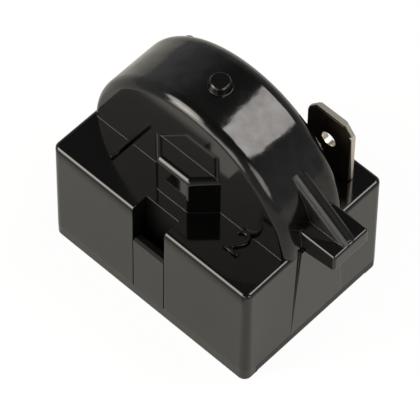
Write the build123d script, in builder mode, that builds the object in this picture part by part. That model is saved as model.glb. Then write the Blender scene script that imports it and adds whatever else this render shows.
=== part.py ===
from build123d import *
from math import radians, tan
import os

os.makedirs("parts", exist_ok=True)

# Moulded body, standing on Z = 0, front at -Y
body_length = 30.0        # X, at the foot
body_depth = 22.3         # Y, at the foot
ledge_height = 17.0       # top of the front and rear ledges
wall = 1.3
draft = 0.5               # degrees that each outer wall leans in
corner_round = 1.0
ledge_round = 0.5

# Half-disc hump that houses the ceramic disc
hump_front = -4.7
hump_rear = 5.35
hump_sink = 0.75          # its axis below the ledge
hump_inset = 0.03         # of its flanks from the drafted side walls
hump_front_bevel = 0.68   # between the two rounds of its front rim
hump_crown_round = 1.8    # between bevel and crown
hump_front_round = 0.4    # between bevel and front
hump_rear_round = 1.9

# Nub on the crown of the hump
nub_radius = 1.4
nub_height = 0.9
nub_draft = 12.0
nub_bevel = 0.15

# Half-hexagon boss on the hump's front
boss_proud = 2.5
boss_half_width = 2.4
boss_rise = 5.9           # its top over the ledge
boss_round = 0.7

# Notch in the front wall and the tongue that stands in it
slot_width = 4.9
slot_depth = 2.45
slot_wall = 1.2
tongue_gap = 0.15
tongue_thickness = 1.4
tongue_drop = 5.7         # its top below the ledge
tongue_bevel = 0.3

# Pull lug on the right-hand wall: shelf, gusset and pad
lug_centre = 0.55         # Y
shelf_half_width = 2.75
shelf_length = 4.5        # beyond the foot of the wall
shelf_rise = 3.2          # its top over the ledge
shelf_tip = 2.3           # thickness at the outer face
shelf_root = 3.0          # thickness at the wall
gusset_width = 2.0
gusset_inset = 0.2        # from the shelf's outer face to its foot
gusset_rise = 5.6         # height of its upper end over the shelf
gusset_run = 8.0
groove_width = 0.5
groove_depth = 0.2
pad_foot_half_width = 4.2
pad_top_half_width = 3.15
pad_foot_proud = 0.02
pad_top_proud = 0.16
lug_round = 0.3
gusset_round = 0.5

# Base cover
seam_height = 1.8
foot_width = 2.1
foot_relief = 0.4
relief_reach = 2.5
base_bevel = 0.25
cover_gap = 0.1
spigot_height = 1.6
spigot_wall = 1.2

# Ceramic disc
disc_radius = 10.0
disc_thickness = 2.6
disc_gap = 0.15
saddle_half_width = 6.0
rib_thickness = 2.0

# Pin sockets and their straps
pin_radius = 1.6
pin_inset = 6.0           # from each side wall
pin_setback = 5.15        # from the front wall
pin_entry = 0.3           # how much wider the cover's pin hole is
strap_gauge = 0.6
socket_headroom = 2.5     # under the ledge
socket_turn = 310.0       # degrees of wall in a rolled socket
strap_drop = 3.2          # its top below the socket's
strap_height = 5.0
stop_wall = 0.5
rib_gap = 0.8             # left round a socket
strap_bend = 1.5
clip_gauge = 0.4
clip_gap = 0.1
clip_height = 2.2
clip_turn = 300.0

# Contact springs
spring_gauge = 0.35
spring_width = 7.0
spring_slot = 1.0
spring_rise = 5.75        # its tip over the disc's axis
spring_land = 3.0         # length of the flat that bears on the disc
spring_bend = 0.9

# Spade tab
tab_width = 6.3
tab_gauge = 0.8
tab_inset = 5.8           # from the right-hand wall to its middle
tab_setback = 3.15        # from the rear wall to its front
tab_rise = 9.5            # its tip over the ledge
tab_corner_x = 1.05
tab_corner_z = 1.25
tab_bevel = 0.2
tab_hole_radius = 1.0
tab_hole_rise = 5.2
joggle_drop = 3.7         # under the ledge
tab_bend = 0.6
tab_slit_gap = 0.1

# Rivets
rivet_radius = 0.9
rivet_head_radius = 1.5
rivet_head = 0.45
rivet_gap = 0.05

# Places that follow from the sizes above
cavity_top = ledge_height - wall
front_wall = -body_depth / 2
hump_root = cavity_top
hump_centre = ledge_height - hump_sink
hump_radius = body_length / 2 - tan(radians(draft)) * (hump_centre - seam_height) - hump_inset
hump_middle = (hump_front + hump_rear) / 2
boss_front = hump_front - boss_proud
boss_top = ledge_height + boss_rise
slot_back = front_wall + slot_depth
pocket_front = front_wall + wall / 2
pocket_back = slot_back + slot_wall
tongue_top = ledge_height - tongue_drop
shelf_top = ledge_height + shelf_rise
shelf_reach = body_length / 2 + shelf_length
gusset_foot = shelf_reach - gusset_inset
pin_x = body_length / 2 - pin_inset
pin_y = front_wall + pin_setback
socket_radius = pin_radius + strap_gauge
socket_top = cavity_top - socket_headroom
disc_front = hump_middle - disc_thickness / 2
disc_rear = hump_middle + disc_thickness / 2
strap_top = socket_top - strap_drop
strap_bottom = strap_top - strap_height
strap_middle = strap_top - strap_height / 2
start_strap_rear = pin_y + socket_radius
line_strap_front = disc_rear + (disc_front - start_strap_rear)
line_strap_rear = line_strap_front + strap_gauge
spring_top = hump_centre + spring_rise
tab_x = body_length / 2 - tab_inset
tab_front = body_depth / 2 - tab_setback
tab_top = ledge_height + tab_rise
tab_hole_height = ledge_height + tab_hole_rise
tab_joggle = cavity_top - joggle_drop


# D-shaped slice of the hump: half a circle on short straight sides
def hump_slice(radius, rear, depth, foot):
    with BuildPart() as form:
        with BuildSketch(Plane.XZ.offset(-rear)):
            with BuildLine():
                crown = CenterArc((0, hump_centre), radius, 0, 180)
                Polyline(crown @ 1, (-radius, foot), (radius, foot), crown @ 0)
            make_face()
        extrude(amount=depth)
    return form.part


# Half hexagon with 45 degree flanks, grown inwards by an inset
def boss_slice(inset, top, bottom):
    front = boss_front + inset
    half = boss_half_width - inset * tan(radians(22.5))
    back = hump_front + wall
    with BuildPart() as form:
        with BuildSketch(Plane.XY.offset(bottom)):
            with BuildLine():
                Polyline((-half, front), (half, front), (half + back - front, back),
                         (-half - back + front, back), close=True)
            make_face()
        extrude(amount=top - bottom)
    return form.part


# Outer form of the drafted box, shared by the housing and the tongue
with BuildPart() as body_form:
    with BuildSketch(Plane.XY.offset(seam_height)):
        RectangleRounded(body_length, body_depth, corner_round)
    extrude(amount=ledge_height - seam_height, taper=draft)
    fillet(body_form.faces().sort_by(Axis.Z)[-1].edges(), ledge_round)

# Hump: a section with two rounded rims, turned half round its axis, on a plain foot
with BuildPart() as hump_form:
    with BuildSketch(Plane.XY.offset(hump_centre)) as hump_section:
        with Locations((-hump_radius / 2, hump_middle)):
            Rectangle(hump_radius, hump_rear - hump_front)
        chamfer(hump_section.vertices().group_by(Axis.X)[0].sort_by(Axis.Y)[0], hump_front_bevel)
        fillet(hump_section.vertices().group_by(Axis.X)[0].sort_by(Axis.Y)[0], hump_crown_round)
        fillet(hump_section.vertices().group_by(Axis.Y)[0].sort_by(Axis.X)[0], hump_front_round)
        fillet(hump_section.vertices().group_by(Axis.Y)[-1].sort_by(Axis.X)[0], hump_rear_round)
    revolve(axis=Axis((0, 0, hump_centre), (0, 1, 0)), revolution_arc=180)
    with BuildSketch(Plane.XY.offset(hump_root)):
        with Locations((0, hump_middle)):
            Rectangle(2 * hump_radius, hump_rear - hump_front)
    extrude(amount=hump_centre - hump_root)

# Boss with its front and top edges rounded
with BuildPart() as boss_form:
    add(boss_slice(0, boss_top, hump_root))
    front_edges = boss_form.edges().filter_by(Axis.Z).sort_by(Axis.Y)[:2]
    fillet(front_edges, boss_round)
    top_edges = boss_form.faces().sort_by(Axis.Z)[-1].edges().sort_by(Axis.Y)[:-1]
    fillet(top_edges, boss_round)

# Shelf of the lug, thicker at its root
with BuildPart() as shelf_form:
    with BuildSketch(Plane.XZ.offset(-lug_centre - shelf_half_width)):
        with BuildLine():
            Polyline((hump_radius - wall, shelf_top), (shelf_reach, shelf_top),
                     (shelf_reach, shelf_top - shelf_tip), (hump_radius, shelf_top - shelf_root),
                     (hump_radius - wall, shelf_top - shelf_root), close=True)
        make_face()
    extrude(amount=2 * shelf_half_width)
    tip_edges = shelf_form.faces().sort_by(Axis.X)[-1].edges()
    top_edges = shelf_form.faces().sort_by(Axis.Z)[-1].edges().filter_by(Axis.X)
    fillet(tip_edges + top_edges, lug_round)

# Gusset: a solid web whose sloping top has a lengthwise groove
slope = gusset_rise / gusset_run
with BuildPart() as gusset_form:
    with BuildSketch(Plane.XZ.offset(-lug_centre - gusset_width / 2)):
        with BuildLine():
            Polyline((gusset_foot, shelf_top), (gusset_foot - gusset_run, shelf_top + gusset_rise),
                     (gusset_foot - gusset_run - wall, shelf_top + gusset_rise),
                     (gusset_foot - gusset_run - wall, shelf_top - shelf_root / 2),
                     (gusset_foot, shelf_top - shelf_root / 2), close=True)
        make_face()
    extrude(amount=gusset_width)
    slope_face = gusset_form.faces().filter_by(lambda face: 0.1 < face.normal_at().X < 0.9)[0]
    fillet(slope_face.edges().filter_by(Axis.Y, reverse=True), gusset_round)
    with BuildSketch(Plane.XZ.offset(-lug_centre - groove_width / 2)):
        with BuildLine():
            Polyline((gusset_foot, shelf_top - groove_depth), (gusset_foot, shelf_top + wall),
                     (gusset_foot - gusset_run, shelf_top + gusset_rise + wall),
                     (gusset_foot - gusset_run, shelf_top + gusset_rise - groove_depth), close=True)
        make_face()
    extrude(amount=groove_width, mode=Mode.SUBTRACT)

# Pad under the shelf, narrower and prouder towards its top
pad_top = shelf_top - shelf_root
with BuildPart() as pad_form:
    with BuildSketch(Plane.XY.offset(seam_height)):
        with Locations((body_length / 2 - wall / 2, lug_centre)):
            Rectangle(wall + 2 * pad_foot_proud, 2 * pad_foot_half_width)
    with BuildSketch(Plane.XY.offset(pad_top)):
        with Locations((body_length / 2 - wall / 2, lug_centre)):
            Rectangle(wall + 2 * pad_top_proud, 2 * pad_top_half_width)
    loft()

# Nub: tapered stud on the crown with a bevelled top
with BuildPart() as nub_form:
    with BuildSketch(Plane.XZ.offset(-hump_middle)):
        with BuildLine():
            foot = hump_centre + hump_radius - wall / 2
            top = hump_centre + hump_radius + nub_height
            foot_radius = nub_radius + tan(radians(nub_draft)) * wall / 2
            top_radius = nub_radius - tan(radians(nub_draft)) * nub_height
            Polyline((0, foot), (foot_radius, foot), (top_radius, top - nub_bevel),
                     (top_radius - nub_bevel, top), (0, top), close=True)
        make_face()
    revolve(axis=Axis((0, hump_middle, 0), (0, 0, 1)))

# Housing: outer forms joined, then hollowed, slotted and ribbed
with BuildPart() as housing:
    add(body_form.part)
    add(hump_form.part)
    add(boss_form.part)
    add(shelf_form.part)
    add(gusset_form.part)
    add(pad_form.part)
    add(nub_form.part)

    # hollow: box, hump and boss
    with BuildSketch(Plane.XY.offset(seam_height)):
        Rectangle(body_length - 2 * wall, body_depth - 2 * wall)
    extrude(amount=cavity_top - seam_height, taper=draft, mode=Mode.SUBTRACT)
    add(hump_slice(hump_radius - wall, hump_rear - wall, hump_rear - hump_front - 2 * wall,
                   cavity_top - wall), mode=Mode.SUBTRACT)
    add(boss_slice(wall, boss_top - wall, cavity_top - wall), mode=Mode.SUBTRACT)

    # walled pocket behind the front notch
    with BuildSketch(Plane.XY.offset(seam_height)):
        with Locations((0, (pocket_front + pocket_back) / 2)):
            Rectangle(slot_width + 2 * slot_wall, pocket_back - pocket_front)
    extrude(amount=ledge_height - seam_height - wall / 2)
    with BuildSketch(Plane.XY.offset(seam_height)):
        with Locations((0, front_wall)):
            Rectangle(slot_width, 2 * slot_depth)
    extrude(amount=ledge_height - seam_height, mode=Mode.SUBTRACT)

    # slit for the spade tab in the rear ledge
    with BuildSketch(Plane.XY.offset(cavity_top - wall)):
        with Locations((tab_x, tab_front + tab_gauge / 2)):
            Rectangle(tab_width + 2 * tab_slit_gap, tab_gauge + 2 * tab_slit_gap)
    extrude(amount=3 * wall, mode=Mode.SUBTRACT)

    # hexagonal stops over the two sockets
    with BuildSketch(Plane.XY.offset(socket_top + disc_gap)):
        with Locations((-pin_x, pin_y), (pin_x, pin_y)):
            RegularPolygon(socket_radius + stop_wall / 2, 6)
            RegularPolygon(socket_radius - stop_wall / 2, 6, mode=Mode.SUBTRACT)
    extrude(amount=cavity_top - socket_top - disc_gap + wall / 2)

    # ribs that centre the ceramic disc: one in the crown, one at each side
    rib_length = hump_radius - wall / 2 - disc_radius - disc_gap
    with BuildSketch(Plane.XZ.offset(-hump_middle - rib_thickness / 2)):
        with Locations((0, hump_centre)):
            with PolarLocations(disc_radius + disc_gap + rib_length / 2, 3, 0, 180, endpoint=True):
                Rectangle(rib_length, rib_thickness)
    extrude(amount=rib_thickness)
housing.part.label = "housing"
export_step(housing.part, "parts/housing.step")


# Tongue of the cover, flush with the drafted front wall
with BuildPart() as tongue_form:
    with BuildSketch(Plane.XY.offset(seam_height)):
        with Locations((0, front_wall + tongue_thickness / 2)):
            Rectangle(slot_width - 2 * tongue_gap, tongue_thickness)
    extrude(amount=tongue_top - seam_height)
    add(body_form.part, mode=Mode.INTERSECT)
    tongue_tip = tongue_form.faces().sort_by(Axis.Z)[-1].edges().filter_by(Axis.X)
    chamfer(tongue_tip, tongue_bevel)

# Base cover: plate on corner feet, spigot, tongue, pin holes, ribs and the disc's saddle
with BuildPart() as base_cover:
    with BuildSketch(Plane((0, 0, seam_height), x_dir=(1, 0, 0), z_dir=(0, 0, -1))):
        RectangleRounded(body_length, body_depth, corner_round)
    extrude(amount=seam_height, taper=2 * draft)
    chamfer(base_cover.faces().sort_by(Axis.Z)[0].edges(), base_bevel)

    # short edges cut up between the feet
    with BuildSketch():
        with Locations((-body_length / 2, 0), (body_length / 2, 0)):
            RectangleRounded(2 * relief_reach, body_depth - 2 * foot_width, corner_round)
    extrude(amount=foot_relief, mode=Mode.SUBTRACT)

    # spigot inside the housing, open at the pocket
    with BuildSketch(Plane.XY.offset(seam_height)):
        Rectangle(body_length - 2 * wall - 2 * cover_gap, body_depth - 2 * wall - 2 * cover_gap)
        offset(amount=-spigot_wall, kind=Kind.INTERSECTION, mode=Mode.SUBTRACT)
        with Locations((0, front_wall)):
            Rectangle(slot_width + 2 * slot_wall + 2 * cover_gap,
                      2 * (pocket_back + cover_gap - front_wall), mode=Mode.SUBTRACT)
    extrude(amount=spigot_height)
    add(tongue_form.part)

    # saddle that the disc stands in
    with BuildSketch(Plane.XZ.offset(-hump_middle - rib_thickness / 2)):
        saddle_top = hump_centre - (disc_radius ** 2 - saddle_half_width ** 2) ** 0.5
        with Locations((0, (saddle_top + seam_height) / 2)):
            Rectangle(2 * saddle_half_width, saddle_top - seam_height)
        with Locations((0, hump_centre)):
            Circle(disc_radius, mode=Mode.SUBTRACT)
    extrude(amount=rib_thickness)

    # ribs that the two straps stand on
    rib_end = pin_x - socket_radius - rib_gap
    rear_rib_end = tab_x + tab_width / 2 - rib_gap
    with BuildSketch(Plane.XY.offset(seam_height)):
        with Locations(((rib_end - spring_width / 2) / 2, start_strap_rear)):
            Rectangle(rib_end + spring_width / 2, 2 * spring_gauge + strap_gauge)
        with Locations(((rear_rib_end - rib_end) / 2, line_strap_rear)):
            Rectangle(rear_rib_end + rib_end, 2 * tab_gauge)
    extrude(amount=strap_bottom - seam_height)

    # pin holes, opened out at the underside
    with Locations((-pin_x, pin_y, seam_height), (pin_x, pin_y, seam_height)):
        Hole(pin_radius + pin_entry, seam_height)
    mouths = base_cover.faces().sort_by(Axis.Z)[0].edges().filter_by(GeomType.CIRCLE)
    mouths = mouths.filter_by(lambda edge: abs(edge.radius - pin_radius - pin_entry) < 0.01)
    chamfer(mouths, pin_entry)
base_cover.part.label = "base_cover"
export_step(base_cover.part, "parts/base_cover.step")

# Ceramic disc on edge in the hump
with BuildPart() as ptc_disc:
    with BuildSketch(Plane.XZ.offset(-disc_rear)):
        with Locations((0, hump_centre)):
            Circle(disc_radius)
    extrude(amount=disc_thickness)
ptc_disc.part.label = "ptc_disc"
export_step(ptc_disc.part, "parts/ptc_disc.step")


# Upright C of sheet round a pin socket's axis, open from one angle to another
def rolled_ring(x, inner, gauge, bottom, height, opening, open_from):
    far = 3 * (inner + gauge)
    first = Vector(far, 0).rotate(Axis.Z, open_from)
    middle = Vector(far, 0).rotate(Axis.Z, open_from + opening / 2)
    last = Vector(far, 0).rotate(Axis.Z, open_from + opening)
    with BuildPart() as ring:
        with BuildSketch(Plane((x, pin_y, bottom))):
            Circle(inner + gauge)
            Circle(inner, mode=Mode.SUBTRACT)
            with BuildLine():
                Polyline((0, 0), first, middle, last, close=True)
            make_face(mode=Mode.SUBTRACT)
        extrude(amount=height)
    return ring.part


# Round hole through a strap, on an axis along Y
def rivet_hole(x, front, depth):
    with BuildPart() as hole:
        with BuildSketch(Plane.XZ.offset(-front - depth)):
            with Locations((x, strap_middle)):
                Circle(rivet_radius + rivet_gap)
        extrude(amount=depth)
    return hole.part


socket_opening = 360 - socket_turn
socket_height = socket_top - seam_height

# Start terminal: rolled socket with a strap to the middle
with BuildPart() as start_terminal:
    add(rolled_ring(pin_x, pin_radius, strap_gauge, seam_height, socket_height, socket_opening, 90))
    strap_start = -spring_width / 2
    with BuildSketch(Plane.XY.offset(strap_bottom)):
        with Locations(((strap_start + pin_x) / 2, start_strap_rear - strap_gauge / 2)):
            Rectangle(pin_x - strap_start, strap_gauge)
    extrude(amount=strap_height)
    add(rivet_hole(0, start_strap_rear - strap_gauge, strap_gauge), mode=Mode.SUBTRACT)
start_terminal.part.label = "start_terminal"
export_step(start_terminal.part, "parts/start_terminal.step")

# Main terminal: rolled socket whose strap turns the corner and runs behind the disc
with BuildPart() as main_terminal:
    add(rolled_ring(-pin_x, pin_radius, strap_gauge, seam_height, socket_height, socket_opening,
                    180 - socket_opening))
    with BuildSketch(Plane.XY.offset(strap_bottom)):
        with BuildLine():
            strap_x = -pin_x - socket_radius + strap_gauge / 2
            strap_y = line_strap_rear - strap_gauge / 2
            FilletPolyline((strap_x, pin_y), (strap_x, strap_y), (tab_x + tab_width / 2, strap_y),
                           radius=strap_bend)
        trace(line_width=strap_gauge)
    extrude(amount=strap_height)
    for x in (0, tab_x):
        add(rivet_hole(x, line_strap_front, strap_gauge), mode=Mode.SUBTRACT)
main_terminal.part.label = "main_terminal"
export_step(main_terminal.part, "parts/main_terminal.step")

# Contact springs: foot on the strap, two leaves that bow out to the disc
foot_y = start_strap_rear + spring_gauge / 2
land_y = disc_front - spring_gauge / 2
rest_y = hump_front + wall + spring_gauge / 2 + rivet_gap
with BuildPart() as start_spring:
    with BuildSketch(Plane.YZ.offset(-spring_width / 2)):
        with BuildLine():
            FilletPolyline((foot_y, strap_bottom), (foot_y, strap_top),
                           (land_y, hump_centre - spring_land / 2),
                           (land_y, hump_centre + spring_land / 2), (rest_y, spring_top),
                           radius=spring_bend)
        trace(line_width=spring_gauge)
    extrude(amount=spring_width)
    with BuildSketch(Plane.XZ.offset(-disc_rear)):
        with Locations((0, (strap_top + spring_top) / 2)):
            Rectangle(spring_slot, spring_top - strap_top - 2 * spring_slot)
    extrude(amount=disc_rear - pin_y, mode=Mode.SUBTRACT)
    add(rivet_hole(0, start_strap_rear, spring_gauge), mode=Mode.SUBTRACT)
start_spring.part.label = "start_spring"
export_step(start_spring.part, "parts/start_spring.step")

with BuildPart() as line_spring:
    mirror(start_spring.part, about=Plane.XZ.offset(-hump_middle))
line_spring.part.label = "line_spring"
export_step(line_spring.part, "parts/line_spring.step")

# Spring rings round the tops of the sockets
for name, x, open_from in (("start_socket_clip", pin_x, 0), ("main_socket_clip", -pin_x, 180)):
    opening = 360 - clip_turn
    with BuildPart() as socket_clip:
        add(rolled_ring(x, socket_radius + clip_gap, clip_gauge, socket_top - clip_height,
                        clip_height - clip_gap, opening, open_from - opening / 2))
    socket_clip.part.label = name
    export_step(socket_clip.part, f"parts/{name}.step")

# Spade tab: flat blade, joggled below the ledge to lie on the main strap
with BuildPart() as blade_outline:
    with BuildSketch(Plane.XZ.offset(-tab_front - 2 * tab_gauge)):
        with BuildLine():
            left = tab_x - tab_width / 2
            right = tab_x + tab_width / 2
            shoulder = tab_top - tab_corner_z
            Polyline((left, strap_bottom), (right, strap_bottom), (right, shoulder),
                     (right - tab_corner_x, tab_top), (left + tab_corner_x, tab_top),
                     (left, shoulder), close=True)
        make_face()
        with Locations((tab_x, tab_hole_height)):
            Circle(tab_hole_radius, mode=Mode.SUBTRACT)
    extrude(amount=tab_front + 2 * tab_gauge)

with BuildPart() as line_tab:
    with BuildSketch(Plane.YZ.offset(tab_x - tab_width / 2)):
        with BuildLine():
            blade_y = tab_front + tab_gauge / 2
            heel_y = line_strap_rear + tab_gauge / 2
            FilletPolyline((blade_y, tab_top), (blade_y, tab_joggle), (heel_y, tab_joggle),
                           (heel_y, strap_bottom), radius=tab_bend + tab_gauge / 2)
        trace(line_width=tab_gauge)
    extrude(amount=tab_width)
    add(blade_outline.part, mode=Mode.INTERSECT)
    tip_edges = line_tab.edges().filter_by_position(Axis.Z, shoulder, tab_top)
    chamfer(tip_edges.filter_by(Axis.Y, reverse=True), tab_bevel)
    add(rivet_hole(tab_x, line_strap_rear, tab_gauge), mode=Mode.SUBTRACT)
line_tab.part.label = "line_tab"
export_step(line_tab.part, "parts/line_tab.step")


# Rivet along Y with flat heads that grips a stack from front to rear
def rivet(x, front, rear):
    with BuildPart() as form:
        with BuildSketch(Plane.XZ.offset(-rear)):
            with Locations((x, strap_middle)):
                Circle(rivet_radius)
        extrude(amount=rear - front)
        for plane in (Plane.XZ.offset(-front), Plane.XZ.offset(-rear - rivet_head)):
            with BuildSketch(plane):
                with Locations((x, strap_middle)):
                    Circle(rivet_head_radius)
            extrude(amount=rivet_head)
    return form.part


with BuildPart() as contact_rivets:
    add(rivet(0, start_strap_rear - strap_gauge, start_strap_rear + spring_gauge))
    add(rivet(0, line_strap_front - spring_gauge, line_strap_rear))
contact_rivets.part.label = "contact_rivets"
export_step(contact_rivets.part, "parts/contact_rivets.step")

with BuildPart() as tab_rivet:
    add(rivet(tab_x, line_strap_front, line_strap_rear + tab_gauge))
tab_rivet.part.label = "tab_rivet"
export_step(tab_rivet.part, "parts/tab_rivet.step")
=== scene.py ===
import math
import bpy
import numpy as np
from mathutils import Matrix, Vector


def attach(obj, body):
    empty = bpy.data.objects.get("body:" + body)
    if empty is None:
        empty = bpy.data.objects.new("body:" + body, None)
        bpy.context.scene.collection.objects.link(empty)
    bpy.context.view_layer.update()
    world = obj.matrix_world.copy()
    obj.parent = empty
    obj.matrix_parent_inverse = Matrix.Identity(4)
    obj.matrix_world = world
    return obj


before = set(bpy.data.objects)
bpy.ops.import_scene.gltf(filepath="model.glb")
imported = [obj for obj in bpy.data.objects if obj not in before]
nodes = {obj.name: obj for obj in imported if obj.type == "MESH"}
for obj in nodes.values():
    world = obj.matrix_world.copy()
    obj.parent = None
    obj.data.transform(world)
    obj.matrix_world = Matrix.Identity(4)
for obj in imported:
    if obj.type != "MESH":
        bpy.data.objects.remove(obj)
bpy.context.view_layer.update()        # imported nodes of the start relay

mm = 0.001
micron = 0.000001
noiseSpan = (0.3, 0.7)   # a noise's values mostly lie between these
print("frame loaded:", len(nodes), "nodes")


# A blank material: its tree, its shader and the point on the object in metres
def startMaterial(name):
    material = bpy.data.materials.new(name)
    material.use_nodes = True
    tree = material.node_tree
    shader = tree.nodes["Principled BSDF"]
    place = tree.nodes.new("ShaderNodeTexCoord")
    return material, tree, shader, place.outputs["Object"]


# Noise whose grains are `size` metres across, stretched along each axis by `stretch`
def addNoise(tree, place, size, stretch=(1, 1, 1), detail=2.0, rough=0.5):
    mapping = tree.nodes.new("ShaderNodeMapping")
    mapping.inputs["Scale"].default_value = [1 / (size * s) for s in stretch]
    tree.links.new(place, mapping.inputs["Vector"])
    noise = tree.nodes.new("ShaderNodeTexNoise")
    noise.inputs["Scale"].default_value = 1.0
    noise.inputs["Detail"].default_value = detail
    noise.inputs["Roughness"].default_value = rough
    tree.links.new(mapping.outputs["Vector"], noise.inputs["Vector"])
    return noise.outputs["Fac"]


# Value carried in a straight line from one range to another, held at both ends
def addRange(tree, value, fromLow, fromHigh, toLow, toHigh):
    node = tree.nodes.new("ShaderNodeMapRange")
    for socket, number in zip(("From Min", "From Max", "To Min", "To Max"),
                              (fromLow, fromHigh, toLow, toHigh)):
        node.inputs[socket].default_value = number
    tree.links.new(value, node.inputs["Value"])
    return node.outputs["Result"]


# One step of arithmetic; each side is a number or another node's output
def addMath(tree, operation, first, second=0):
    node = tree.nodes.new("ShaderNodeMath")
    node.operation = operation
    for socket, value in zip(node.inputs, (first, second)):
        if isinstance(value, (int, float)):
            socket.default_value = value
        else:
            tree.links.new(value, socket)
    return node.outputs["Value"]


# Coordinates of a point or a direction
def addSplit(tree, place):
    node = tree.nodes.new("ShaderNodeSeparateXYZ")
    tree.links.new(place, node.inputs["Vector"])
    return node.outputs["X"], node.outputs["Y"], node.outputs["Z"]


# Two colours mixed by a value, the second in full at one; each is three numbers or another
# node's output
def mixColors(tree, value, first, second):
    node = tree.nodes.new("ShaderNodeMix")
    node.data_type = "RGBA"
    tree.links.new(value, node.inputs[0])
    for socket, color in zip(node.inputs[6:8], (first, second)):   # the node's two colours
        if isinstance(color, tuple):
            socket.default_value = (*color, 1)
        else:
            tree.links.new(color, socket)
    return node.outputs[2]


# A number laid over a value where the mask is one
def layValue(tree, mask, under, over):
    node = tree.nodes.new("ShaderNodeMix")
    tree.links.new(mask, node.inputs[0])
    tree.links.new(under, node.inputs[2])
    node.inputs[3].default_value = over
    return node.outputs[0]


# Height field turned into a normal; the height is in metres, and creases within `soften` metres
# of an edge are rounded first
def addBump(tree, shader, height, soften=0.0):
    node = tree.nodes.new("ShaderNodeBump")
    node.inputs["Distance"].default_value = 1.0
    tree.links.new(height, node.inputs["Height"])
    if soften:
        crease = tree.nodes.new("ShaderNodeBevel")
        crease.samples = 8
        crease.inputs["Radius"].default_value = soften
        tree.links.new(crease.outputs["Normal"], node.inputs["Normal"])
    tree.links.new(node.outputs["Normal"], shader.inputs["Normal"])


# One inside the box given by its middle and half sizes, nought outside
def addBoxMask(tree, place, middle, half):
    offset = tree.nodes.new("ShaderNodeVectorMath")
    offset.operation = "SUBTRACT"
    offset.inputs[1].default_value = middle
    tree.links.new(place, offset.inputs[0])
    mask = None
    for distance, reach in zip(addSplit(tree, offset.outputs["Vector"]), half):
        inside = addMath(tree, "LESS_THAN", addMath(tree, "ABSOLUTE", distance), reach)
        mask = addMath(tree, "MULTIPLY", mask, inside) if mask else inside
    return mask


# Distance from an axis along Y at a height: the root of the sum of the two squares
def addReach(tree, place, height):
    across, _, upwards = addSplit(tree, place)
    above = addMath(tree, "SUBTRACT", upwards, height)
    squares = addMath(tree, "ADD", addMath(tree, "MULTIPLY", across, across),
                      addMath(tree, "MULTIPLY", above, above))
    return addMath(tree, "SQRT", squares)


# Masks of the hairlines, which run along X and along Z, and of hairlines and specks of dust
def addMarks(tree, place, look):
    lengthways = addNoise(tree, place, look["hairSize"], (look["hairLength"], 1, 1), detail=1.0)
    upright = addNoise(tree, place, look["hairSize"], (1, 1, look["hairLength"]), detail=1.0)
    hairs = addMath(tree, "MAXIMUM", addRange(tree, lengthways, *look["hairShare"], 0, 1),
                    addRange(tree, upright, *look["hairShare"], 0, 1))
    specks = addNoise(tree, place, look["speckSize"], detail=0.0)
    specks = addRange(tree, specks, *look["speckShare"], 0, 1)
    return hairs, addMath(tree, "MAXIMUM", hairs, specks)


# One on the crown of the hump, fading to nought a little under its surface
def addCrown(tree, place, look):
    start, full = (look["crownRadius"] - depth for depth in look["crownFade"])
    crown = addRange(tree, addReach(tree, place, look["crownAxis"]), start, full, 0, 1)
    return addMath(tree, "MULTIPLY", crown,
                   addBoxMask(tree, place, look["humpMiddle"], look["humpHalf"]))


# Painted shade: share of the reflection that the front wall loses, from nought up to its full loss
# at the rim
def addRimShade(tree, place, look):
    _, _, upwards = addSplit(tree, place)
    loss = addRange(tree, upwards, *look["rimFade"], 0, look["rimShadeLoss"])
    return addMath(tree, "MULTIPLY", loss,
                   addBoxMask(tree, place, look["rimMiddle"], look["rimHalf"]))


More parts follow.
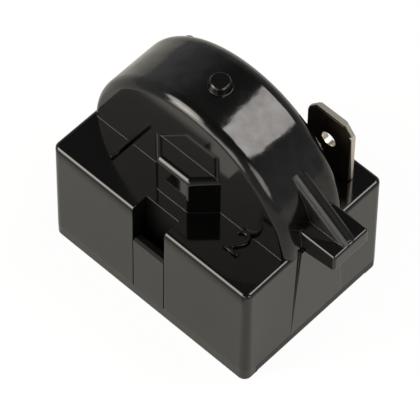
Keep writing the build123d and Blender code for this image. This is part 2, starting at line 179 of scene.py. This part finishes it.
# Black thermoset: colour and gloss drift slowly, a few hairlines and specks of dust break it, and
# its height is a slow wave plus a fine skin, with a swell over the crown, less the hairlines. The
# crown is a little duller and mottled, and some places have a roughness and a strength of
# reflection of their own, which in the pocket and at the cover's tongue tip is painted shade and
# on the housing's near rib a painted highlight. The front wall's reflection darkens up to its rim
# as painted shade
def mouldedPlastic(name, look):
    material, tree, shader, place = startMaterial(name)
    drift = addNoise(tree, place, look["driftSize"], detail=3.0)
    hairs, marks = addMarks(tree, place, look)
    crown = addCrown(tree, place, look)

    gloss = addRange(tree, drift, *noiseSpan, *look["roughness"])
    gloss = addMath(tree, "ADD", gloss, addMath(tree, "MULTIPLY", marks, look["markRoughness"]))
    gloss = addMath(tree, "ADD", gloss, addMath(tree, "MULTIPLY", crown, look["crownRoughness"]))
    mottle = addNoise(tree, place, look["mottleSize"], detail=3.0, rough=0.6)
    mottle = addRange(tree, mottle, *noiseSpan, -look["mottle"], look["mottle"])
    strength = addMath(tree, "ADD", addMath(tree, "MULTIPLY", crown, mottle), look["strength"])
    # each place sets its own roughness and reflection strength; some are painted shade, one a
    # painted highlight
    for spot in look["dullAndPaintedLightPlaces"].values():
        inside = addBoxMask(tree, place, spot["middle"], spot["half"])
        gloss = layValue(tree, inside, gloss, spot["roughness"])
        strength = layValue(tree, inside, strength, spot["strength"])
    # painted shade: the front wall's reflection darkened towards its rim
    kept = addMath(tree, "SUBTRACT", 1, addRimShade(tree, place, look))
    strength = addMath(tree, "MULTIPLY", strength, kept)

    wave = addNoise(tree, place, look["waveSize"], detail=1.0)
    skin = addNoise(tree, place, look["skinSize"], detail=2.0)
    swell = addNoise(tree, place, look["swellSize"], detail=1.5)
    height = addMath(tree, "ADD", addMath(tree, "MULTIPLY", wave, look["waveHeight"]),
                     addMath(tree, "MULTIPLY", skin, look["skinHeight"]))
    swell = addMath(tree, "ADD", swell, addMath(tree, "MULTIPLY", skin, look["swellSkin"]))
    swell = addMath(tree, "MULTIPLY", swell, look["swellHeight"])
    height = addMath(tree, "ADD", height, addMath(tree, "MULTIPLY", swell, crown))
    height = addMath(tree, "SUBTRACT", height, addMath(tree, "MULTIPLY", hairs, look["hairDepth"]))

    color = mixColors(tree, drift, look["dark"], look["light"])
    tree.links.new(color, shader.inputs["Base Color"])
    tree.links.new(gloss, shader.inputs["Roughness"])
    tree.links.new(strength, shader.inputs["Specular IOR Level"])
    shader.inputs["IOR"].default_value = look["ior"]
    addBump(tree, shader, height, look["crease"])
    return material


# Painted shade: in the pocket the reflection is nearly taken away, so that the recess reads dark
pocketShadeLook = {
    "middle": (0, -8.0 * mm, 9.0 * mm), "half": (2.5 * mm, 2.9 * mm, 7.9 * mm),
    "roughness": 0.5, "strength": 0.1,
}
housingLook = {
    "dark": (0.0009, 0.00088, 0.00083), "light": (0.0021, 0.0020, 0.0019),
    "driftSize": 9 * mm, "roughness": (0.062, 0.11), "ior": 1.46, "strength": 0.5,
    "crease": 0.12 * mm,
    "hairSize": 0.12 * mm, "hairLength": 14, "hairShare": (0.70, 0.78), "hairDepth": 0.4 * micron,
    "speckSize": 0.16 * mm, "speckShare": (0.80, 0.88), "markRoughness": 0.12,
    "waveSize": 5 * mm, "waveHeight": 5 * micron,
    "skinSize": 0.5 * mm, "skinHeight": 0.25 * micron,
    # crown: the height of its axis, its radius, the depths where its mask starts and is full,
    # and the box round the hump
    "crownAxis": 16.25 * mm, "crownRadius": 14.84 * mm, "crownFade": (0.6 * mm, 0.1 * mm),
    "humpMiddle": (0, 0.33 * mm, 24.5 * mm), "humpHalf": (15 * mm, 5.1 * mm, 7.4 * mm),
    "swellSize": 3.2 * mm, "swellHeight": 105 * micron, "swellSkin": 0.03,
    "crownRoughness": 0.02, "mottleSize": 1.6 * mm, "mottle": 0.09,
    # front wall: a box round its upper part, and the heights between which its reflection fades as
    # painted shade
    "rimMiddle": (0, -11.1 * mm, 15.7 * mm), "rimHalf": (14.4 * mm, 0.25 * mm, 0.93 * mm),
    "rimFade": (15.0 * mm, 16.5 * mm), "rimShadeLoss": 0.78,
    "dullAndPaintedLightPlaces": {
        "pocket": pocketShadeLook,
        # painted highlight: a stronger and rougher reflection on the near rib, for a bright band
        "nearRib": {
            "middle": (15.35 * mm, -0.1 * mm, 22.6 * mm), "half": (3.95 * mm, 0.38 * mm, 3.6 * mm),
            "roughness": 0.4, "strength": 0.8,
        },
    },
}
coverLook = dict(housingLook, **{
    "dark": (0.0014, 0.00136, 0.0013), "light": (0.0030, 0.0029, 0.0027),
    "roughness": (0.08, 0.14), "waveSize": 4 * mm,
    "dullAndPaintedLightPlaces": {
        "pocket": pocketShadeLook,
        "rightEdge": {
            "middle": (15.0 * mm, 0.5 * mm, 0.9 * mm), "half": (0.7 * mm, 9.9 * mm, 0.9 * mm),
            "roughness": 0.5, "strength": 0.6,
        },
        # painted shade: the tongue tip's reflection nearly taken away, so that its bevel shows no
        # highlight
        "tongueTip": {
            "middle": (0, -11.1 * mm, 11.2 * mm), "half": (2.5 * mm, 0.5 * mm, 0.2 * mm),
            "roughness": 0.5, "strength": 0.1,
        },
    },
})


# Masks of the tab's front face, which is painted dark as shade, and of its sheared outline: the
# two straight sides, the tip with its cut corners, where the shares of the way to the side and to
# the top add up to enough, and the rim next to the front face, painted near black as shade, which
# is the tip's bevel and the rolled-over part of the sides, whose width grows in a straight line
# towards the foot
def bladeMasks(tree, place, look):
    x, y, z = addSplit(tree, place)
    top, half = look["bladeTop"], look["bladeHalf"]
    shoulder = top - look["cornerZ"]
    aside = addMath(tree, "ABSOLUTE", addMath(tree, "SUBTRACT", x, look["bladeMiddle"]))
    behind = addMath(tree, "SUBTRACT", y, look["bladeFront"])
    sides = addMath(tree, "GREATER_THAN", aside, half - look["sideSkin"])
    front = addMath(tree, "LESS_THAN", behind, look["frontSkin"])

    across = addRange(tree, aside, half - look["cornerX"], half, 0, 1)
    upwards = addRange(tree, z, shoulder, top, 0, 1)
    corner = addMath(tree, "GREATER_THAN", addMath(tree, "ADD", across, upwards),
                     look["cornerShare"])
    corner = addMath(tree, "MULTIPLY", corner,
                     addMath(tree, "GREATER_THAN", upwards, look["cornerFoot"]))
    straight = addMath(tree, "GREATER_THAN", z, top - look["tipRim"])
    tip = addMath(tree, "MAXIMUM", straight, corner)

    bevel = addMath(tree, "MULTIPLY", tip, addMath(tree, "LESS_THAN", behind, look["tipBevel"]))
    below = addMath(tree, "SUBTRACT", shoulder, z)
    rollWidth = addMath(tree, "ADD", addMath(tree, "MULTIPLY", below, look["rollGrowth"]),
                        look["rollOver"])
    rolled = addMath(tree, "MULTIPLY", sides, addMath(tree, "LESS_THAN", behind, rollWidth))
    return front, sides, tip, addMath(tree, "MAXIMUM", rolled, bevel)


# Rolled sheet: long fine rolling lines in gloss and height, and a tarnish in colour and gloss that
# is slow clouds plus small spots. Where the look describes a blade, its sheared outline has
# colours of its own, while its front and the rim next to the front get dark colours of painted
# shade, and what is sheared is coarse
def rolledMetal(name, look):
    material, tree, shader, place = startMaterial(name)
    lines = addNoise(tree, place, look["lineSize"], look["stretch"], detail=3.0)
    clouds = addNoise(tree, place, look["cloudSize"], detail=4.0, rough=0.6)
    spots = addNoise(tree, place, look["spotSize"], detail=2.0)
    tarnish = addMath(tree, "ADD",
                      addRange(tree, clouds, *look["cloudShare"], 0, look["cloudDepth"]),
                      addRange(tree, spots, *look["spotShare"], 0, look["spotDepth"]))
    gloss = addRange(tree, lines, *noiseSpan, *look["roughness"])
    gloss = addMath(tree, "ADD", gloss,
                    addMath(tree, "MULTIPLY", tarnish, look["tarnishRoughness"]))
    color = mixColors(tree, tarnish, look["bright"], look["dull"])
    height = addMath(tree, "MULTIPLY", lines, look["lineHeight"])
    if "bladeMiddle" in look:
        masks = bladeMasks(tree, place, look)
        # the front's and the rim's colours are painted shade
        for mask, shade in zip(masks, ("frontShadeColor", "sideColor", "tipColor", "rimShadeColor")):
            color = mixColors(tree, mask, color, look[shade])
        sheared = addMath(tree, "MAXIMUM", masks[1], masks[2])
        gloss = addMath(tree, "MAXIMUM", gloss,
                        addMath(tree, "MULTIPLY", sheared, look["shearedRoughness"]))
        grain = addNoise(tree, place, look["grainSize"], detail=3.0)
        grain = addMath(tree, "MULTIPLY", grain, look["grainHeight"])
        height = addMath(tree, "ADD", height, addMath(tree, "MULTIPLY", sheared, grain))
    tree.links.new(color, shader.inputs["Base Color"])
    tree.links.new(gloss, shader.inputs["Roughness"])
    shader.inputs["Metallic"].default_value = 1.0
    addBump(tree, shader, height)
    return material


sheetLook = {
    "bright": (0.72, 0.67, 0.58), "dull": (0.42, 0.37, 0.31), "roughness": (0.20, 0.32),
    "lineSize": 0.08 * mm, "stretch": (1, 1, 30), "lineHeight": 1.2 * micron,
    "cloudSize": 2.5 * mm, "cloudShare": (0.35, 0.7), "cloudDepth": 0.7,
    "spotSize": 0.5 * mm, "spotShare": (0.62, 0.75), "spotDepth": 0.3, "tarnishRoughness": 0.08,
}
tabLook = dict(sheetLook, **{
    "roughness": (0.24, 0.36),
    "bladeMiddle": 9.2 * mm, "bladeHalf": 3.15 * mm, "bladeTop": 26.5 * mm, "bladeFront": 8.0 * mm,
    "cornerX": 1.05 * mm, "cornerZ": 1.25 * mm, "cornerShare": 0.75, "cornerFoot": 0.02,
    "tipRim": 0.21 * mm, "tipBevel": 0.19 * mm, "rollOver": 0.09 * mm, "rollGrowth": 0.047,
    "sideSkin": 0.02 * mm, "frontSkin": 0.03 * mm,
    "shearedRoughness": 0.5, "grainSize": 0.14 * mm, "grainHeight": 12 * micron,
    # the front colour and the rim colour are painted shade: dark where the tab's face and the rim
    # beside it look dark
    "frontShadeColor": (0.34, 0.28, 0.23), "sideColor": (0.64, 0.59, 0.53),
    "tipColor": (0.33, 0.33, 0.28), "rimShadeColor": (0.02, 0.018, 0.014),
})
brassLook = dict(sheetLook, bright=(0.80, 0.60, 0.28), dull=(0.55, 0.38, 0.16),
                 stretch=(1, 30, 1))
springLook = dict(sheetLook, bright=(0.62, 0.61, 0.59), dull=(0.45, 0.44, 0.42),
                  roughness=(0.16, 0.26))
rivetLook = dict(brassLook, bright=(0.74, 0.56, 0.27), dull=(0.52, 0.36, 0.15),
                 stretch=(1, 1, 1))


# Dark ceramic under a sprayed silver coat: the coat covers both flat faces up to a bare margin
def coatedCeramic(name, look):
    material, tree, shader, place = startMaterial(name)
    coat = addRange(tree, addReach(tree, place, look["centre"]),
                    look["coatRadius"], look["coatRadius"] + look["coatRim"], 1, 0)
    grain = addNoise(tree, place, look["grainSize"], detail=4.0)
    coatColor = mixColors(tree, grain, look["coatDark"], look["coatLight"])
    color = mixColors(tree, coat, look["body"], coatColor)
    gloss = addRange(tree, grain, *noiseSpan, *look["roughness"])
    tree.links.new(color, shader.inputs["Base Color"])
    tree.links.new(coat, shader.inputs["Metallic"])
    tree.links.new(gloss, shader.inputs["Roughness"])
    addBump(tree, shader, addMath(tree, "MULTIPLY", grain, look["grainHeight"]))
    return material


discLook = {
    "body": (0.055, 0.050, 0.046), "coatDark": (0.52, 0.51, 0.49), "coatLight": (0.72, 0.71, 0.69),
    "roughness": (0.38, 0.6), "centre": 16.25 * mm, "coatRadius": 9.4 * mm, "coatRim": 0.1 * mm,
    "grainSize": 0.15 * mm, "grainHeight": 4 * micron,
}

housingPlastic = mouldedPlastic("housingPlastic", housingLook)
terminalBrass = rolledMetal("terminalBrass", brassLook)
springSteel = rolledMetal("springSteel", springLook)
rivetBrass = rolledMetal("rivetBrass", rivetLook)
finishes = {
    "housing": housingPlastic,
    "base_cover": mouldedPlastic("coverPlastic", coverLook),
    "line_tab": rolledMetal("platedTab", tabLook),
    "ptc_disc": coatedCeramic("metallisedCeramic", discLook),
    "start_terminal": terminalBrass,
    "main_terminal": terminalBrass,
    "start_spring": springSteel,
    "line_spring": springSteel,
    "start_socket_clip": springSteel,
    "main_socket_clip": springSteel,
    "contact_rivets": rivetBrass,
    "tab_rivet": rivetBrass,
}
for nodeName, finish in finishes.items():
    for slot in nodes[nodeName].material_slots:
        slot.material = finish
print("finishes on", len(finishes), "nodes")


numberLook = {
    "ledge": 17.0 * mm, "height": 3.2 * mm, "raised": 0.24 * mm, "edge": 0.08 * mm,
    "sunk": 0.03 * mm, "digitShare": 0.7,     # a digit's height for each unit of the font's size
    "outlineSteps": 8, "edgeSteps": 3,
    "places": {"1": (-8.9 * mm, -6.2 * mm), "2": (9.2 * mm, -6.2 * mm)},
}


# Plain numeral: its outline is thickened with a soft edge, made a mesh, scaled to its height
# and set on the ledge by adding its place to every point
def raisedNumber(digit, look):
    outline = bpy.data.curves.new("numeral" + digit, "FONT")
    outline.body = digit
    outline.align_x = "CENTER"
    outline.align_y = "CENTER"
    outline.size = 1.0
    outline.resolution_u = look["outlineSteps"]
    scale = look["height"] / look["digitShare"]
    outline.extrude = look["raised"] / 2 / scale
    outline.bevel_depth = look["edge"] / scale
    outline.bevel_resolution = look["edgeSteps"]
    outline.offset = -look["edge"] / scale
    text = bpy.data.objects.new("numeralOutline" + digit, outline)
    bpy.context.scene.collection.objects.link(text)
    bpy.context.view_layer.update()
    solid = text.evaluated_get(bpy.context.evaluated_depsgraph_get())
    mesh = bpy.data.meshes.new_from_object(solid)
    bpy.data.objects.remove(text)
    points = np.empty(3 * len(mesh.vertices))
    mesh.vertices.foreach_get("co", points)
    points = points.reshape(-1, 3)
    low, high = points.min(axis=0), points.max(axis=0)
    points = (points - (low + high) / 2) * (look["height"] / (high - low)[1])
    placeX, placeY = look["places"][digit]
    points += (placeX, placeY, look["ledge"] - look["sunk"] - points[:, 2].min())
    mesh.vertices.foreach_set("co", points.ravel())
    mesh.materials.clear()
    mesh.materials.append(housingPlastic)
    mesh.update()
    piece = bpy.data.objects.new("terminalNumber" + digit, mesh)
    bpy.context.scene.collection.objects.link(piece)
    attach(piece, "root")


for digit in numberLook["places"]:
    raisedNumber(digit, numberLook)
print("terminal numbers set")


floorLook = {
    "half": 1.5, "drop": 0.02 * mm, "color": (0.80, 0.80, 0.79), "cameraGlow": 0.94,
    "mirrorGlow": 0.75, "mirrorColor": (0.56, 0.54, 0.475),
}


# Pale table: diffuse, with a white glow that the eye sees and a warm one that the mirrors see;
# clear from below, so that the underside can be looked at
def makeFloor(look):
    mesh = bpy.data.meshes.new("floor")
    half, low = look["half"], -look["drop"]
    corners = [(-half, -half, low), (half, -half, low), (half, half, low), (-half, half, low)]
    mesh.from_pydata(corners, [], [(0, 1, 2, 3)])
    floor = bpy.data.objects.new("floor", mesh)
    bpy.context.scene.collection.objects.link(floor)
    material = bpy.data.materials.new("paleFloor")
    material.use_nodes = True
    tree = material.node_tree
    tree.nodes.clear()
    output = tree.nodes.new("ShaderNodeOutputMaterial")
    matte = tree.nodes.new("ShaderNodeBsdfDiffuse")
    matte.inputs["Color"].default_value = (*look["color"], 1)
    glow = tree.nodes.new("ShaderNodeEmission")
    glow.inputs["Strength"].default_value = 1.0
    path = tree.nodes.new("ShaderNodeLightPath")
    eye = path.outputs["Is Camera Ray"]
    mirrors = addMath(tree, "MAXIMUM", path.outputs["Is Glossy Ray"],
                      path.outputs["Is Transmission Ray"])
    tree.links.new(mixColors(tree, eye, look["mirrorColor"], (1, 1, 1)), glow.inputs["Color"])
    share = addMath(tree, "ADD", addMath(tree, "MULTIPLY", eye, look["cameraGlow"]),
                    addMath(tree, "MULTIPLY", mirrors, look["mirrorGlow"]))
    side = tree.nodes.new("ShaderNodeNewGeometry").outputs["Backfacing"]
    clear = tree.nodes.new("ShaderNodeBsdfTransparent")
    upper = addShaderMix(tree, share, matte.outputs[0], glow.outputs[0])
    sided = addShaderMix(tree, side, upper, clear.outputs[0])
    tree.links.new(sided, output.inputs["Surface"])
    mesh.materials.append(material)


# Two shaders mixed by a value, the second in full at one
def addShaderMix(tree, value, first, second):
    node = tree.nodes.new("ShaderNodeMixShader")
    for socket, source in zip(node.inputs, (value, first, second)):
        tree.links.new(source, socket)
    return node.outputs[0]


makeFloor(floorLook)

# stops of the walls' brightness by the sine of the height above the horizon, and soft windows in
# them: direction, degrees of even light, degrees to their rim, brightness
roomLook = {
    "stops": ((0.0, 0.45), (0.25, 0.45), (0.55, 0.36), (0.75, 0.14), (1.0, 0.09)),
    "windows": (
        {"towards": (-0.507, -0.604, 0.616), "even": 9, "rim": 22, "level": 8.6},
        {"towards": (-0.382, -0.858, 0.342), "even": 8, "rim": 24, "level": 6.0},
        {"towards": (0.132, -0.942, 0.309), "even": 6, "rim": 18, "level": 4.5},
        {"towards": (0.853, -0.150, 0.500), "even": 7, "rim": 20, "level": 4.5},
    ),
    "windowColor": (1.0, 0.92, 0.85),
}


# Window: its full level where the direction is within the even angle of its middle, falling
# smoothly to nought at its rim
def addWindow(tree, direction, window):
    facing = tree.nodes.new("ShaderNodeVectorMath")
    facing.operation = "DOT_PRODUCT"
    facing.inputs[1].default_value = Vector(window["towards"]).normalized()
    tree.links.new(direction, facing.inputs[0])
    rim, even = (math.cos(math.radians(window[angle])) for angle in ("rim", "even"))
    pane = tree.nodes.new("ShaderNodeMapRange")
    pane.interpolation_type = "SMOOTHSTEP"
    for socket, number in zip(("From Min", "From Max", "To Max"), (rim, even, window["level"])):
        pane.inputs[socket].default_value = number
    tree.links.new(facing.outputs["Value"], pane.inputs["Value"])
    return pane.outputs["Result"]


# White to the eye; to everything else grey walls that darken towards the ceiling, plus the
# windows
def makeRoom(look):
    world = bpy.data.worlds.new("room")
    bpy.context.scene.world = world
    world.use_nodes = True
    tree = world.node_tree
    tree.nodes.clear()
    output = tree.nodes.new("ShaderNodeOutputWorld")
    direction = tree.nodes.new("ShaderNodeTexCoord").outputs["Generated"]
    ramp = tree.nodes.new("ShaderNodeValToRGB")
    stops = ramp.color_ramp.elements
    while len(stops) < len(look["stops"]):
        stops.new(1.0)
    for stop, (position, level) in zip(stops, look["stops"]):
        stop.position = position
        stop.color = (level, level, level, 1)
    _, _, upwards = addSplit(tree, direction)
    tree.links.new(upwards, ramp.inputs["Fac"])
    light = None
    for window in look["windows"]:
        pane = addWindow(tree, direction, window)
        light = addMath(tree, "ADD", light, pane) if light else pane
    walls = tree.nodes.new("ShaderNodeBackground")
    tree.links.new(ramp.outputs["Color"], walls.inputs["Color"])
    windows = tree.nodes.new("ShaderNodeBackground")
    windows.inputs["Color"].default_value = (*look["windowColor"], 1)
    tree.links.new(light, windows.inputs["Strength"])
    surroundings = tree.nodes.new("ShaderNodeAddShader")
    tree.links.new(walls.outputs[0], surroundings.inputs[0])
    tree.links.new(windows.outputs[0], surroundings.inputs[1])
    white = tree.nodes.new("ShaderNodeBackground")
    white.inputs["Color"].default_value = (1, 1, 1, 1)
    eye = tree.nodes.new("ShaderNodeLightPath").outputs["Is Camera Ray"]
    seen = addShaderMix(tree, eye, surroundings.outputs[0], white.outputs[0])
    tree.links.new(seen, output.inputs["Surface"])


makeRoom(roomLook)

# direction from the relay, distance, width, height and brightness of its face
softboxLook = {
    "towards": (0.323, 0.432, 0.842), "distance": 0.75, "width": 0.465, "height": 0.36,
    "level": 8.0, "color": (1.0, 0.94, 0.90), "target": (0, 0, 0.02),
}


# Softbox that faces the relay; its power is its brightness times pi times the area of its face
def makeSoftbox(look):
    lamp = bpy.data.lights.new("topSoftbox", "AREA")
    lamp.shape = "RECTANGLE"
    lamp.size = look["width"]
    lamp.size_y = look["height"]
    lamp.color = look["color"]
    lamp.energy = look["level"] * math.pi * look["width"] * look["height"]
    softbox = bpy.data.objects.new("topSoftbox", lamp)
    bpy.context.scene.collection.objects.link(softbox)
    towards = Vector(look["towards"]).normalized()
    across = Vector((0, 1, 0)).cross(towards).normalized()
    upwards = towards.cross(across)
    place = Vector(look["target"]) + towards * look["distance"]
    turn = Matrix((across, upwards, towards)).transposed().to_4x4()
    softbox.matrix_world = Matrix.Translation(place) @ turn
    softbox.visible_camera = False


makeSoftbox(softboxLook)
print("floor, room and softbox made")

# degrees round from the front towards the lug, degrees up, degrees of roll; metres from the
# origin to the camera and from the origin to the point that it aims at; millimetres of the lens
cameraLook = {
    "azimuth": 42.618, "elevation": 56.418, "roll": 0.867, "distance": 0.40272,
    "lens": 300.0, "sensor": 36.0, "aimRight": -0.0006697, "aimUp": 0.0042275, "near": 0.01,
}


# Camera on a sphere round the origin, rolled a little, aimed beside the origin
def makeCamera(look):
    azimuth, elevation, roll = (math.radians(look[angle])
                                for angle in ("azimuth", "elevation", "roll"))
    back = Vector((math.sin(azimuth) * math.cos(elevation),
                   -math.cos(azimuth) * math.cos(elevation), math.sin(elevation)))
    right = Vector((math.cos(azimuth), math.sin(azimuth), 0))
    upwards = back.cross(right)
    rolledRight = right * math.cos(roll) + upwards * math.sin(roll)
    rolledUp = upwards * math.cos(roll) - right * math.sin(roll)
    place = back * look["distance"]
    aim = rolledRight * look["aimRight"] + rolledUp * look["aimUp"]
    axisZ = (place - aim).normalized()
    axisX = rolledUp.cross(axisZ).normalized()
    axisY = axisZ.cross(axisX)
    lens = bpy.data.cameras.new("camera")
    lens.lens = look["lens"]
    lens.sensor_width = look["sensor"]
    lens.clip_start = look["near"]
    camera = bpy.data.objects.new("camera", lens)
    bpy.context.scene.collection.objects.link(camera)
    turn = Matrix((axisX, axisY, axisZ)).transposed().to_4x4()
    camera.matrix_world = Matrix.Translation(place) @ turn
    bpy.context.scene.camera = camera


makeCamera(cameraLook)
bpy.context.scene.view_settings.view_transform = "Standard"
print("camera set")
